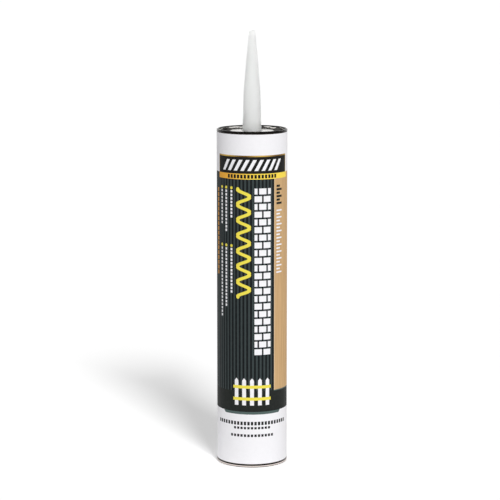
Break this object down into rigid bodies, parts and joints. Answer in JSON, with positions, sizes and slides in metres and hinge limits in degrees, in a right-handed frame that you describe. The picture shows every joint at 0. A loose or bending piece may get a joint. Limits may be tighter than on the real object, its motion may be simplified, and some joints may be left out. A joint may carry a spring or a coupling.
{
  "type": "construction adhesive cartridge",
  "caption": "Upright paperboard adhesive cartridge with crimped tinplate ends, a tapered closed nozzle and a ribbed plunger that slides up the bore.",
  "frame": {"origin": "centre of the base plane, on the cartridge's axis", "axes": "+Z along the axis from the plunger's end to the nozzle's tip, -Y through the middle of the label's front, +X to the right of it"},
  "size_m": [0.0636, 0.0636, 0.3925],
  "materials": {
    "tube_board": "matte",
    "label_print": "satin",
    "end_steel": "satin",
    "nozzle_plastic": "satin",
    "seal_foil": "satin",
    "plunger_plastic": "satin",
    "adhesive_paste": "matte"
  },
  "bodies": {
    "cartridge": {"tube_body": "tube_board", "label_wrap": "label_print", "top_end": "end_steel", "base_ring": "end_steel", "nozzle": "nozzle_plastic", "puncture_seal": "seal_foil", "adhesive_fill": "adhesive_paste"},
    "plunger": {"plunger": "plunger_plastic"}
  },
  "joints": [
    {"name": "plunger_slide", "type": "slide", "parent": "cartridge", "child": "plunger", "axis": [0, 0, 1], "range_m": [0, 0.2815], "deforming": ["adhesive_fill"]}
  ]
}
